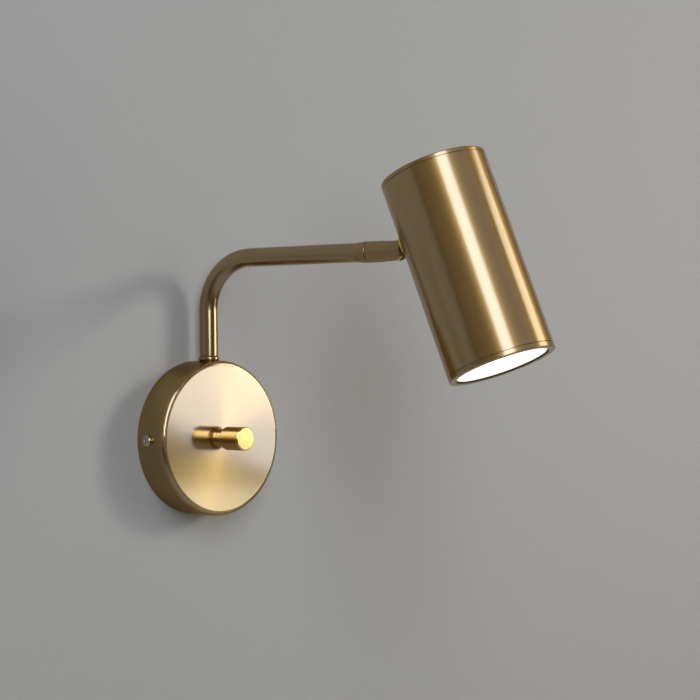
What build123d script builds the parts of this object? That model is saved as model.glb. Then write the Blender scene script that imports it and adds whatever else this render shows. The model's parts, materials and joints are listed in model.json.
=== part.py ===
from build123d import *
import os
from math import asin, cos, degrees, radians, sin, sqrt

# A brass wall lamp: a round cup on the wall, an arm that swings, and a spot head on a knuckle.
# Sizes are in millimetres. The wall is the plane y = 0, the lamp reaches out along -Y, and +Z is up.
# The origin is the middle of the cup's rim, on the wall.

# Clearances
running_gap = 0.06  # radial, a shaft that turns in its bore
thread_gap = 0.05  # radial, stands for a screw thread
seat_gap = 0.03  # between pieces that are pressed, brazed or seated on each other
slip_gap = 0.1  # between faces that turn on each other
hole_gap = 0.25  # radial, a screw or pipe that passes freely through sheet metal
seam_gap = 0.25  # open seam between two turned covers

# How the lamp stands at rest
arm_swing = 12.5  # degrees from straight out, towards +X
head_tilt = 20.9  # degrees the head leans its lit end away from the wall
swing_limit = 75.0  # degrees the arm swings each way from straight out
roll_limit = 160.0  # degrees the fork rolls each way

# Cup on the wall
canopy_dia = 100.0
canopy_depth = 25.0
canopy_wall = 1.2
canopy_edge_radius = 3.3

# Bracket under the cup
strap_width = 18.0
strap_thickness = 1.5
strap_bend_radius = 2.0
tab_depth = 16.0
tab_gap = 0.4
wall_slot_spacing = 60.0
wall_slot_length = 12.0
wall_slot_width = 5.0
cable_hole_dia = 10.0

# Screws through the cup's side into the bracket
canopy_screw_dia = 4.0
canopy_screw_length = 8.0
canopy_screw_head_dia = 7.4
canopy_screw_head_height = 2.2
canopy_screw_out = 10.5
cross_width = 1.0
cross_depth = 1.1

# Terminal block and earth screw on the bracket
block_length = 12.0
block_width = 16.0
block_height = 10.0
block_edge_radius = 1.0
pole_spacing = 8.4
pole_bore_dia = 2.8
clamp_spacing = 6.4
clamp_screw_dia = 2.6
clamp_screw_length = 3.0
block_screw_dia = 3.0
block_screw_head_dia = 5.0
block_screw_head_height = 1.8
block_screw_grip = 4.0
slot_drive_width = 0.6
slot_drive_depth = 0.7
earth_screw_dia = 4.0
earth_screw_head_dia = 7.0
earth_screw_head_height = 2.2
earth_washer_dia = 8.4
earth_washer_thickness = 0.8

# Driver, stuck inside the cup's face
driver_length = 50.0
driver_height = 24.0
driver_depth = 13.0
driver_edge_radius = 1.5
driver_below = 27.0
pad_thickness = 1.0
pad_margin = 4.0

# Rotary switch behind the cup's face
switch_width = 17.0
switch_depth = 11.0
switch_edge_radius = 1.0
bush_dia = 9.0
neck_dia = 11.6
neck_length = 4.0
neck_edge = 0.3
spindle_dia = 6.0
spindle_seat = 6.0
spindle_flat = 0.8
tag_spacing = 10.0
tag_width = 3.0
tag_thickness = 0.8
tag_length = 5.0

# Knob
knob_dia = 15.2
knob_reach = 22.0
knob_rear_chamfer = 1.3
knob_front_edge = 0.35
knob_bore_depth = 13.0
knob_groove_width = 0.5
knob_groove_depth = 0.35
knob_rim_length = 1.4
grub_dia = 3.0
grub_length = 3.6
grub_socket = 1.5
grub_socket_depth = 1.4
grub_inset = 5.5

# Arm tube and its swivel in the cup's top
tube_dia = 12.0
tube_wall = 1.0
arm_height = 115.8
arm_bend_radius = 33.0
collar_dia = 13.5
collar_neck_dia = 11.8
collar_height = 3.2
collar_bead_height = 2.7
collar_bead_radius = 1.2
nipple_grip = 12.0
nipple_wall = 1.4
nipple_tail = 1.2
saddle_dia = 18.0
saddle_thickness = 2.8
washer_dia = 12.8
friction_washer_thickness = 0.6
stop_washer_thickness = 1.2
stop_tab_width = 3.0
stop_play = 1.0
wave_washer_thickness = 0.8
swivel_nut_flats = 14.0
swivel_nut_thickness = 5.0

# Ring at the arm's end and the fork that rolls in it
ring_dia = 13.2
ring_start = 114.0
ring_length = 8.0
ring_edge = 0.25
socket_depth = 4.6
roll_spindle_dia = 6.0
roll_bore_dia = 4.2
roll_washer_dia = 9.2
roll_washer_thickness = 0.7
roll_nut_flats = 8.0
roll_nut_thickness = 4.0
roll_spindle_tail = 1.0
roll_pin_dia = 1.4
roll_pin_radius = 4.6
roll_pin_grip = 2.0
roll_pin_reach = 1.0
roll_groove_depth = 1.3
seam_washer_thickness = 0.3
seam_washer_inset = 0.3
seam_washer_width = 0.6

# Knuckle
pivot_along = 140.2
fork_end_radius = 6.9
tongue_thickness = 4.4
tilt_washer_thickness = 0.3
tilt_washer_dia = 9.0
eye_radius = 6.2
slot_clearance = 0.6
tilt_screw_dia = 3.5
tilt_screw_head_dia = 6.0
tilt_screw_head_height = 1.9
tilt_screw_inset = 0.8
tilt_screw_grip = 2.8

# Stud between the knuckle and the head
pivot_to_wall = 9.7
collar_gap = 0.5
stud_collar_dia = 12.4
stem_width = 10.0
stud_dia = 8.0
stud_bore_dia = 3.2
stud_bore_stop = 3.6
stud_saddle_dia = 16.0
stud_saddle_thickness = 2.8
stud_washer_dia = 14.0
stud_washer_thickness = 1.2
stud_nut_flats = 13.0
stud_nut_thickness = 6.0
stud_tail = 1.5

# Head
head_dia = 66.0
head_wall = 1.5
head_length = 127.3
stud_below_top = 35.2
cover_edge = 0.4
cap_band = 2.5
cover_plug_depth = 6.0
cover_plug_wall = 1.2
bezel_band = 3.0
bezel_lip_thickness = 2.2
bezel_lip_width = 4.25
diffuser_thickness = 2.0
diffuser_recess = 0.6

# Light source inside the head
board_to_diffuser = 27.5
board_dia = 44.0
board_thickness = 1.6
chip_size = 3.0
chip_height = 0.7
outer_chip_ring_dia = 24.0
outer_chip_count = 8
inner_chip_ring_dia = 10.0
inner_chip_count = 4
board_screw_ring_dia = 36.0
board_screw_count = 3
board_screw_dia = 3.0
board_screw_head_dia = 5.5
board_screw_head_height = 1.6
board_screw_grip = 3.5
reflector_wall = 1.0
reflector_board_gap = 0.6
reflector_rim_gap = 0.4
sink_plate_thickness = 6.0
sink_fin_height = 28.0
sink_fin_thickness = 2.0
sink_fin_pitch = 8.0
sink_fin_count = 7
sink_fin_inset = 2.0

# Lead from the driver to the light
lead_dia = 2.8
lead_hole_gap = 0.9
lead_end_gap = 0.3
lead_bend_radius = 12.0
lead_turn_radius = 6.0
lead_rise = 15.0
lead_side_margin = 7.0

# Sizes that follow from the ones above
canopy_radius = canopy_dia / 2
canopy_bore_radius = canopy_radius - canopy_wall
canopy_inside = canopy_depth - canopy_wall
tab_reach = sqrt((canopy_bore_radius - tab_gap) ** 2 - (strap_width / 2) ** 2)
slot_inner_end = wall_slot_spacing / 2 - wall_slot_length / 2
block_offset = (cable_hole_dia / 2 + slot_inner_end) / 2

swivel_out = canopy_depth / 2
tube_bore = tube_dia - 2 * tube_wall
nipple_dia = tube_bore - 2 * seat_gap
nipple_bore = nipple_dia - 2 * nipple_wall
collar_top = canopy_radius + collar_height
tube_foot = collar_top + slip_gap
saddle_flat = canopy_bore_radius - saddle_thickness
friction_level = saddle_flat - slip_gap - friction_washer_thickness
stop_level = friction_level - stop_washer_thickness
wave_level = stop_level - wave_washer_thickness
swivel_nut_level = wave_level - swivel_nut_thickness
nipple_foot = swivel_nut_level - nipple_tail
lug_inner_radius = washer_dia / 2 + slip_gap
tab_half_angle = degrees(asin(stop_tab_width / 2 / lug_inner_radius))
lug_start = swing_limit + tab_half_angle + stop_play

ring_end = ring_start + ring_length
tube_end = ring_start + socket_depth
fork_start = ring_end + seam_washer_thickness + slip_gap
roll_washer_start = tube_end - slip_gap - roll_washer_thickness
roll_nut_start = roll_washer_start - roll_nut_thickness
roll_spindle_start = roll_nut_start - roll_spindle_tail
groove_half_width = roll_pin_dia / 2 + hole_gap
pin_half_angle = degrees(asin(groove_half_width / (roll_pin_radius - groove_half_width)))
slot_width = tongue_thickness + 2 * tilt_washer_thickness + 2 * slip_gap
slot_bottom = pivot_along - eye_radius - slot_clearance
collar_start = fork_end_radius + collar_gap

wire_exit = stud_bore_stop + stud_bore_dia / 2

head_radius = head_dia / 2
head_bore_radius = head_radius - head_wall
pivot_to_axis = pivot_to_wall + head_radius
stud_inside = pivot_to_wall + head_wall
stud_flat = stud_inside + stud_saddle_thickness
stud_nut_start = stud_flat + stud_washer_thickness
stud_end = stud_nut_start + stud_nut_thickness + stud_tail
plug_radius = head_bore_radius - seat_gap
tube_top = cap_band + seam_gap
bezel_top = head_length - bezel_band
tube_bottom = bezel_top - seam_gap
ledge_level = head_length - bezel_lip_thickness
diffuser_top = ledge_level - diffuser_thickness
lit_radius = head_radius - bezel_lip_width
plate_bottom = diffuser_top - board_to_diffuser
plate_top = plate_bottom - sink_plate_thickness
board_bottom = plate_bottom + board_thickness
lead_path_offset = 1.5 * sink_fin_pitch
lead_hole_dia = lead_dia + 2 * lead_hole_gap

# Directions and planes of the arm and the head at rest
up = Vector(0, 0, 1)
arm_dir = Vector(sin(radians(arm_swing)), -cos(radians(arm_swing)), 0)
across = arm_dir.cross(up)
to_head = arm_dir * cos(radians(head_tilt)) + up * sin(radians(head_tilt))
head_up = up * cos(radians(head_tilt)) - arm_dir * sin(radians(head_tilt))
wall = Plane.XZ
arm_side = Plane(origin=(0, -swivel_out, 0), x_dir=arm_dir, z_dir=across)
arm_axis = Axis(arm_side.from_local_coords((0, arm_height, 0)), arm_dir)
pivot = arm_side.from_local_coords((pivot_along, arm_height, 0))
knuckle_side = Plane(origin=pivot, x_dir=to_head, z_dir=across)
head_top = knuckle_side.from_local_coords((pivot_to_axis, stud_below_top, 0))
head_side = Plane(origin=head_top, x_dir=to_head, z_dir=across)
head_axis = Axis(head_top, head_up)


def swivel_level(height):
    """Level plane at a height on the swivel's axis, turned with the arm."""
    return Plane(origin=(0, -swivel_out, height), x_dir=arm_dir, z_dir=up)


def arm_station(along):
    """Plane square to the arm at a distance from the swivel's axis, facing the head."""
    return Plane(origin=arm_side.from_local_coords((along, arm_height, 0)), x_dir=across, z_dir=arm_dir)


def stud_station(along):
    """Plane square to the stud at a distance from the pivot, facing the head's middle."""
    return Plane(origin=knuckle_side.from_local_coords((along, 0, 0)), x_dir=across, z_dir=to_head)


def head_level(depth):
    """Plane square to the head's axis at a depth below its top, facing up the head."""
    return Plane(origin=head_top - head_up * depth, x_dir=to_head, z_dir=head_up)


def ring(plane, outer_dia, inner_dia, thickness):
    """A flat washer or a turned ring standing on a plane."""
    with BuildPart() as piece:
        with BuildSketch(plane):
            Circle(outer_dia / 2)
            Circle(inner_dia / 2, mode=Mode.SUBTRACT)
        extrude(amount=thickness)
    return piece


def hex_nut(plane, flats, bore_dia, thickness):
    """A hexagon nut standing on a plane."""
    with BuildPart() as piece:
        with BuildSketch(plane):
            RegularPolygon(flats / 2, 6, major_radius=False)
            Circle(bore_dia / 2, mode=Mode.SUBTRACT)
        extrude(amount=thickness)
    return piece


def turned(plane, axis, outline):
    """A piece turned on a lathe: its half outline in a plane, spun about an axis in that plane."""
    with BuildPart() as piece:
        with BuildSketch(plane):
            with BuildLine():
                Polyline(*outline, close=True)
            make_face()
        revolve(axis=axis)
    return piece


def draw_sector(inner_radius, outer_radius, half_angle, middle):
    """Adds a sector of a ring to the sketch being drawn, in degrees about its middle direction."""
    with BuildLine() as outline:
        outer = CenterArc((0, 0), outer_radius, middle - half_angle, 2 * half_angle)
        inner = CenterArc((0, 0), inner_radius, middle - half_angle, 2 * half_angle)
        Line(outer @ 0, inner @ 0)
        Line(outer @ 1, inner @ 1)
    make_face(outline.edges())


def add_screw(seat, head_dia, head_height, shank_dia, shank_length):
    """Adds a headed screw to the part being built: head on the seat plane, shank below it."""
    with BuildSketch(seat) as head_outline:
        Circle(head_dia / 2)
    extrude(head_outline.sketch, amount=head_height)
    fillet(edges(Select.LAST).group_by(Axis(seat.origin, seat.z_dir))[-1], head_height / 2)
    with BuildSketch(seat) as shank_outline:
        Circle(shank_dia / 2)
    extrude(shank_outline.sketch, amount=-shank_length)


def cut_drive(seat, head_height, length, width, depth, strokes):
    """Cuts a slot, or a cross of two strokes, into the head of a screw on a seat plane."""
    with BuildSketch(seat.offset(head_height)) as drive:
        with PolarLocations(0, strokes, angular_range=180):
            Rectangle(length, width)
    extrude(drive.sketch, amount=-depth, mode=Mode.SUBTRACT)


def save(piece, label):
    """Names a finished piece and writes it to its own file."""
    piece.part.label = label
    export_step(piece.part, f"parts/{label}.step")


os.makedirs("parts", exist_ok=True)

# Wall bracket: a bent steel strap with slots for the wall screws
with BuildPart() as wall_bracket:
    with BuildSketch(Plane.XY.offset(-strap_width / 2)):
        Rectangle(2 * tab_reach, tab_depth, align=(Align.CENTER, Align.MAX))
        with Locations((0, -strap_thickness)):
            Rectangle(2 * (tab_reach - strap_thickness), tab_depth, align=(Align.CENTER, Align.MAX),
                      mode=Mode.SUBTRACT)
    extrude(amount=strap_width)
    fillet(edges().filter_by(Axis.Z).group_by(Axis.Y)[-1], strap_bend_radius)
    with BuildSketch(wall):
        with GridLocations(wall_slot_spacing, 0, 2, 1):
            SlotOverall(wall_slot_length, wall_slot_width)
        Circle(cable_hole_dia / 2)
        with Locations((-block_offset, 0)):
            Circle(block_screw_dia / 2 + thread_gap)
        with Locations((block_offset, 0)):
            Circle(earth_screw_dia / 2 + thread_gap)
    extrude(amount=strap_thickness, mode=Mode.SUBTRACT)
    with BuildSketch(Plane.YZ):
        with Locations((-canopy_screw_out, 0)):
            Circle(canopy_screw_dia / 2 + thread_gap)
    extrude(amount=tab_reach, both=True, mode=Mode.SUBTRACT)
save(wall_bracket, "wall_bracket")

# Canopy: the spun cup, with holes for the switch, the swivel and the side screws
with BuildPart() as canopy:
    with BuildSketch(wall):
        Circle(canopy_radius)
    extrude(amount=canopy_depth)
    fillet(edges().group_by(Axis.Y)[0], canopy_edge_radius)
    offset(amount=-canopy_wall, openings=faces().sort_by(Axis.Y)[-1])
    with BuildSketch(wall):
        Circle(bush_dia / 2 + hole_gap)
    extrude(amount=canopy_depth, mode=Mode.SUBTRACT)
    with BuildSketch(Plane.XY):
        with Locations((0, -swivel_out)):
            Circle(nipple_dia / 2 + hole_gap)
    extrude(amount=canopy_radius, mode=Mode.SUBTRACT)
    with BuildSketch(Plane.YZ):
        with Locations((-canopy_screw_out, 0)):
            Circle(canopy_screw_dia / 2 + hole_gap)
    extrude(amount=canopy_radius, both=True, mode=Mode.SUBTRACT)
save(canopy, "canopy")

# Canopy screws: two pan heads in the cup's side
with BuildPart() as canopy_screws:
    for side in (1, -1):
        screw_seat = Plane(origin=(side * (canopy_radius + seat_gap), -canopy_screw_out, 0),
                           x_dir=(0, 1, 0), z_dir=(side, 0, 0))
        add_screw(screw_seat, canopy_screw_head_dia, canopy_screw_head_height,
                  canopy_screw_dia, canopy_screw_length)
        cut_drive(screw_seat, canopy_screw_head_height, canopy_screw_dia, cross_width, cross_depth, 2)
save(canopy_screws, "canopy_screws")

# Terminal block: a moulded two-pole block on the bracket
block_face = wall.offset(strap_thickness + block_height)
with BuildPart() as terminal_block:
    with BuildSketch(wall.offset(strap_thickness)):
        with Locations((-block_offset, 0)):
            RectangleRounded(block_length, block_width, block_edge_radius)
            Circle(block_screw_dia / 2 + hole_gap, mode=Mode.SUBTRACT)
    extrude(amount=block_height)
    with BuildSketch(block_face):
        with Locations((-block_offset, 0)):
            Circle(block_screw_head_dia / 2 + hole_gap)
    extrude(amount=-(block_height - block_screw_grip), mode=Mode.SUBTRACT)
    with BuildSketch(block_face):
        with Locations((-block_offset, 0)):
            with GridLocations(clamp_spacing, pole_spacing, 2, 2):
                Circle(clamp_screw_dia / 2 + thread_gap)
    extrude(amount=-block_height / 2, mode=Mode.SUBTRACT)
    with BuildSketch(Plane.YZ.offset(-block_offset)):
        with Locations((-strap_thickness - block_height / 2, 0)):
            with GridLocations(0, pole_spacing, 1, 2):
                Circle(pole_bore_dia / 2)
    extrude(amount=block_length, both=True, mode=Mode.SUBTRACT)
save(terminal_block, "terminal_block")

# Terminal screws: four slotted screws flush in the block's face
with BuildPart() as terminal_screws:
    with BuildSketch(block_face):
        with Locations((-block_offset, 0)):
            with GridLocations(clamp_spacing, pole_spacing, 2, 2):
                Circle(clamp_screw_dia / 2)
    extrude(amount=-clamp_screw_length)
    with BuildSketch(block_face):
        with Locations((-block_offset, 0)):
            with GridLocations(clamp_spacing, pole_spacing, 2, 2):
                Rectangle(clamp_screw_dia, slot_drive_width)
    extrude(amount=-slot_drive_depth, mode=Mode.SUBTRACT)
save(terminal_screws, "terminal_screws")

# Block screw: holds the terminal block on the strap
with BuildPart() as block_screw:
    block_screw_seat = Plane(origin=(-block_offset, -strap_thickness - block_screw_grip, 0),
                             x_dir=(1, 0, 0), z_dir=(0, -1, 0))
    add_screw(block_screw_seat, block_screw_head_dia, block_screw_head_height,
              block_screw_dia, block_screw_grip + strap_thickness)
    cut_drive(block_screw_seat, block_screw_head_height, block_screw_head_dia,
              slot_drive_width, slot_drive_depth, 1)
save(block_screw, "block_screw")

# Earth screw and its toothed washer
earth_washer = ring(Plane(origin=(block_offset, -strap_thickness, 0), x_dir=(1, 0, 0), z_dir=(0, -1, 0)),
                    earth_washer_dia, earth_screw_dia + 2 * hole_gap, earth_washer_thickness)
save(earth_washer, "earth_washer")

with BuildPart() as earth_screw:
    earth_seat = Plane(origin=(block_offset, -strap_thickness - earth_washer_thickness, 0),
                       x_dir=(1, 0, 0), z_dir=(0, -1, 0))
    add_screw(earth_seat, earth_screw_head_dia, earth_screw_head_height,
              earth_screw_dia, earth_washer_thickness + strap_thickness)
    cut_drive(earth_seat, earth_screw_head_height, earth_screw_dia, cross_width, cross_depth, 2)
save(earth_screw, "earth_screw")

# Driver and the foam tape that holds it inside the cup's face
with BuildPart() as driver_pad:
    with BuildSketch(wall.offset(canopy_inside)):
        with Locations((0, -driver_below)):
            Rectangle(driver_length - 2 * pad_margin, driver_height - 2 * pad_margin)
    extrude(amount=-pad_thickness)
save(driver_pad, "driver_pad")

with BuildPart() as led_driver:
    with BuildSketch(wall.offset(canopy_inside - pad_thickness)):
        with Locations((0, -driver_below)):
            Rectangle(driver_length, driver_height)
    extrude(amount=-driver_depth)
    fillet(edges().filter_by(Axis.Y), driver_edge_radius)
    fillet(edges().group_by(Axis.Y)[-1], driver_edge_radius / 2)
save(led_driver, "led_driver")

# Rotary switch: body with a threaded bush that passes through the cup's face
bush_length = canopy_wall + neck_length - slip_gap
switch_back = canopy_inside - switch_depth
with BuildPart() as switch_body:
    with BuildSketch(wall.offset(canopy_inside)):
        RectangleRounded(switch_width, switch_width, switch_edge_radius)
    extrude(amount=-switch_depth)
    with BuildSketch(wall.offset(canopy_inside)):
        Circle(bush_dia / 2)
    extrude(amount=bush_length)
    with BuildSketch(wall.offset(canopy_inside - spindle_seat)):
        Circle(spindle_dia / 2 + running_gap)
    extrude(amount=spindle_seat + bush_length, mode=Mode.SUBTRACT)
save(switch_body, "switch_body")

with BuildPart() as switch_tags:
    with BuildSketch(wall.offset(switch_back)):
        with GridLocations(tag_spacing, 0, 2, 1):
            Rectangle(tag_thickness, tag_width)
    extrude(amount=-tag_length)
save(switch_tags, "switch_tags")

# Switch nut: the round polished neck under the knob
with BuildPart() as switch_nut:
    with BuildSketch(wall.offset(canopy_depth)):
        Circle(neck_dia / 2)
        Circle(bush_dia / 2 + thread_gap, mode=Mode.SUBTRACT)
    extrude(amount=neck_length)
    chamfer(edges().group_by(Axis.Y)[0].sort_by(SortBy.RADIUS)[-1], neck_edge)
save(switch_nut, "switch_nut")

# Knob, its spindle and its grub screw
knob_radius = knob_dia / 2
knob_back = canopy_depth + neck_length + slip_gap
knob_front = canopy_depth + knob_reach
knob_bore_radius = spindle_dia / 2 + seat_gap
knob_foot_radius = knob_radius - knob_rear_chamfer
groove_front = knob_front - knob_rim_length
groove_back = groove_front - knob_groove_width
groove_radius = knob_radius - knob_groove_depth
grub_out = knob_back + grub_inset
with BuildPart() as knob:
    with BuildSketch(Plane.YX):
        with BuildLine():
            Polyline(
                (-knob_back, knob_bore_radius),
                (-knob_back, knob_foot_radius),
                (-knob_back - knob_rear_chamfer, knob_radius),
                (-groove_back, knob_radius),
                (-groove_back, groove_radius),
                (-groove_front, groove_radius),
                (-groove_front, knob_radius),
                (-knob_front + knob_front_edge, knob_radius),
                (-knob_front, knob_radius - knob_front_edge),
                (-knob_front, 0),
                (-knob_back - knob_bore_depth, 0),
                (-knob_back - knob_bore_depth, knob_bore_radius),
                close=True,
            )
        make_face()
    revolve(axis=Axis.Y)
    with BuildSketch(Plane.XY):
        with Locations((0, -grub_out)):
            Circle(grub_dia / 2 + thread_gap)
    extrude(amount=-knob_radius, mode=Mode.SUBTRACT)
save(knob, "knob")

with BuildPart() as switch_spindle:
    with BuildSketch(wall.offset(canopy_inside - spindle_seat + slip_gap)):
        Circle(spindle_dia / 2)
    extrude(amount=spindle_seat + canopy_wall + neck_length + knob_bore_depth - slip_gap)
    with BuildSketch(wall.offset(knob_back)):
        with Locations((0, -spindle_dia / 2)):
            Rectangle(spindle_dia, 2 * spindle_flat)
    extrude(amount=knob_bore_depth, mode=Mode.SUBTRACT)
save(switch_spindle, "switch_spindle")

with BuildPart() as knob_grub_screw:
    with BuildSketch(Plane(origin=(0, -grub_out, spindle_flat - spindle_dia / 2), z_dir=(0, 0, -1))):
        Circle(grub_dia / 2)
    extrude(amount=grub_length)
    with BuildSketch(Plane(origin=(0, -grub_out, spindle_flat - spindle_dia / 2 - grub_length))):
        RegularPolygon(grub_socket / 2, 6, major_radius=False)
    extrude(amount=grub_socket_depth, mode=Mode.SUBTRACT)
save(knob_grub_screw, "knob_grub_screw")

# Arm collar: the polished bead on the cup's top, hollowed underneath to the cup's curve
with BuildPart() as arm_collar:
    with BuildSketch(Plane(origin=(0, -swivel_out, collar_top))):
        Circle(collar_dia / 2)
    extrude(amount=-collar_bead_height)
    fillet(edges(), collar_bead_radius)
    with BuildSketch(Plane(origin=(0, -swivel_out, collar_top - collar_bead_height / 2))):
        Circle(collar_neck_dia / 2)
    extrude(amount=-collar_height)
    with BuildSketch(wall):
        Circle(canopy_radius + seat_gap)
    extrude(amount=canopy_depth, mode=Mode.SUBTRACT)
    with BuildSketch(Plane(origin=(0, -swivel_out, collar_top))):
        Circle(nipple_dia / 2 + running_gap)
    extrude(amount=-2 * collar_height, mode=Mode.SUBTRACT)
save(arm_collar, "arm_collar")

# Swivel saddle: fits the inside of the cup, with a curved lug that stops the swing
with BuildPart() as swivel_saddle:
    with BuildSketch(Plane(origin=(0, -swivel_out, saddle_flat))):
        Circle(saddle_dia / 2)
    extrude(amount=saddle_thickness)
    with BuildSketch(wall):
        Circle(canopy_bore_radius - seat_gap)
    extrude(amount=canopy_depth, mode=Mode.INTERSECT)
    with BuildSketch(Plane(origin=(0, -swivel_out, saddle_flat))):
        draw_sector(lug_inner_radius, saddle_dia / 2, 180 - lug_start, 90)
    extrude(amount=stop_level - saddle_flat)
    with BuildSketch(Plane(origin=(0, -swivel_out, 0))):
        Circle(nipple_dia / 2 + running_gap)
    extrude(amount=canopy_radius, mode=Mode.SUBTRACT)
save(swivel_saddle, "swivel_saddle")

# Arm tube: up from the collar, one bend, then out towards the head
with BuildPart() as arm_tube:
    with BuildLine(arm_side):
        FilletPolyline((0, tube_foot), (0, arm_height), (tube_end, arm_height), radius=arm_bend_radius)
    with BuildSketch(swivel_level(tube_foot)):
        Circle(tube_dia / 2)
        Circle(tube_bore / 2, mode=Mode.SUBTRACT)
    sweep()
save(arm_tube, "arm_tube")

# Swivel stack inside the cup: hollow nipple, washers and nut, all turning with the arm
nipple_length = tube_foot + nipple_grip - nipple_foot
swivel_nipple = ring(swivel_level(nipple_foot), nipple_dia, nipple_bore, nipple_length)
save(swivel_nipple, "swivel_nipple")
washer_bore = nipple_dia + 2 * seat_gap
friction_washer = ring(swivel_level(friction_level), washer_dia, washer_bore, friction_washer_thickness)
save(friction_washer, "friction_washer")
wave_washer = ring(swivel_level(wave_level), washer_dia, washer_bore, wave_washer_thickness)
save(wave_washer, "wave_washer")
swivel_nut = hex_nut(swivel_level(swivel_nut_level), swivel_nut_flats, nipple_dia + 2 * thread_gap,
                     swivel_nut_thickness)
save(swivel_nut, "swivel_nut")

# Stop washer: its tab runs against the saddle's lug at the ends of the swing
with BuildPart() as stop_washer:
    with BuildSketch(swivel_level(stop_level)):
        Circle(washer_dia / 2)
        with Locations((saddle_dia / 4, 0)):
            Rectangle(saddle_dia / 2, stop_tab_width)
        Circle(washer_bore / 2, mode=Mode.SUBTRACT)
    extrude(amount=stop_washer_thickness)
save(stop_washer, "stop_washer")

# Arm end ring: a socket over the tube's end, with a web that carries the fork's spindle
with BuildPart() as arm_end_ring:
    with BuildSketch(arm_station(ring_start)):
        Circle(ring_dia / 2)
    extrude(amount=ring_length)
    chamfer(edges(), ring_edge)
    with BuildSketch(arm_station(ring_start)):
        Circle(tube_dia / 2 + seat_gap)
    extrude(amount=socket_depth, mode=Mode.SUBTRACT)
    with BuildSketch(arm_station(ring_start)):
        Circle(roll_spindle_dia / 2 + running_gap)
    extrude(amount=ring_length, mode=Mode.SUBTRACT)
    with BuildSketch(arm_station(ring_end)):
        draw_sector(roll_pin_radius - groove_half_width, roll_pin_radius + groove_half_width,
                    roll_limit + pin_half_angle, 90)
    extrude(amount=-roll_groove_depth, mode=Mode.SUBTRACT)
save(arm_end_ring, "arm_end_ring")

# Fork: hollow spindle, round body, a slot for the tongue and a rounded end about the pivot
fork_radius = ring_dia / 2
fork_end = pivot_along + fork_end_radius
screw_seat_out = fork_radius - tilt_screw_inset - tilt_screw_head_height
with BuildPart() as fork:
    with BuildSketch(arm_station(fork_start)):
        Circle(fork_radius)
    extrude(amount=fork_end - fork_start)
    chamfer(edges().group_by(arm_axis)[0], ring_edge)
    with BuildSketch(arm_station(roll_spindle_start)):
        Circle(roll_spindle_dia / 2)
    extrude(amount=fork_start - roll_spindle_start + roll_pin_grip)
    with BuildSketch(arm_side):
        with Locations((pivot_along, arm_height)):
            Rectangle(2 * fork_radius, 3 * fork_radius, align=(Align.MIN, Align.CENTER))
            Circle(fork_end_radius, mode=Mode.SUBTRACT)
    extrude(amount=fork_radius, both=True, mode=Mode.SUBTRACT)
    with BuildSketch(arm_side):
        with Locations((slot_bottom, arm_height)):
            Rectangle(fork_end, 3 * fork_radius, align=(Align.MIN, Align.CENTER))
    extrude(amount=slot_width / 2, both=True, mode=Mode.SUBTRACT)
    with BuildSketch(arm_station(roll_spindle_start)):
        Circle(roll_bore_dia / 2)
    extrude(amount=slot_bottom - roll_spindle_start, mode=Mode.SUBTRACT)
    with BuildSketch(arm_station(fork_start)):
        with Locations((0, roll_pin_radius)):
            Circle(roll_pin_dia / 2 + seat_gap)
    extrude(amount=roll_pin_grip, mode=Mode.SUBTRACT)
    with BuildSketch(arm_side.offset(-fork_radius)):
        with Locations((pivot_along, arm_height)):
            Circle(tilt_screw_dia / 2 + thread_gap)
    extrude(amount=fork_radius + slot_width / 2 + tilt_screw_grip, mode=Mode.SUBTRACT)
    with BuildSketch(arm_side.offset(-fork_radius)):
        with Locations((pivot_along, arm_height)):
            Circle(tilt_screw_head_dia / 2 + hole_gap)
    extrude(amount=fork_radius - screw_seat_out, mode=Mode.SUBTRACT)
save(fork, "fork")

# Roll stack inside the arm's end, and the pin that stops the roll
roll_bore = roll_spindle_dia + 2 * seat_gap
roll_wave_washer = ring(arm_station(roll_washer_start), roll_washer_dia, roll_bore, roll_washer_thickness)
save(roll_wave_washer, "roll_wave_washer")
roll_nut = hex_nut(arm_station(roll_nut_start), roll_nut_flats, roll_spindle_dia + 2 * thread_gap,
                   roll_nut_thickness)
save(roll_nut, "roll_nut")

with BuildPart() as roll_stop_pin:
    with BuildSketch(arm_station(ring_end - roll_pin_reach)):
        with Locations((0, roll_pin_radius)):
            Circle(roll_pin_dia / 2)
    extrude(amount=roll_pin_reach + fork_start - ring_end + roll_pin_grip)
save(roll_stop_pin, "roll_stop_pin")

seam_washer_dia = ring_dia - 2 * seam_washer_inset
seam_washer = ring(arm_station(fork_start - seam_washer_thickness), seam_washer_dia,
                   seam_washer_dia - 2 * seam_washer_width, seam_washer_thickness)
save(seam_washer, "seam_washer")

# Tilt screw: its head lies in one cheek of the fork, its thread ends blind in the other
with BuildPart() as tilt_screw:
    tilt_seat = Plane(origin=pivot - across * screw_seat_out, x_dir=arm_dir, z_dir=-across)
    with BuildSketch(tilt_seat):
        Circle(tilt_screw_head_dia / 2)
    extrude(amount=tilt_screw_head_height)
    with BuildSketch(tilt_seat):
        Circle(tilt_screw_dia / 2)
    extrude(amount=-(screw_seat_out + slot_width / 2 + tilt_screw_grip - slip_gap))
    cut_drive(tilt_seat, tilt_screw_head_height, tilt_screw_head_dia, slot_drive_width, slot_drive_depth, 1)
save(tilt_screw, "tilt_screw")

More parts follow.
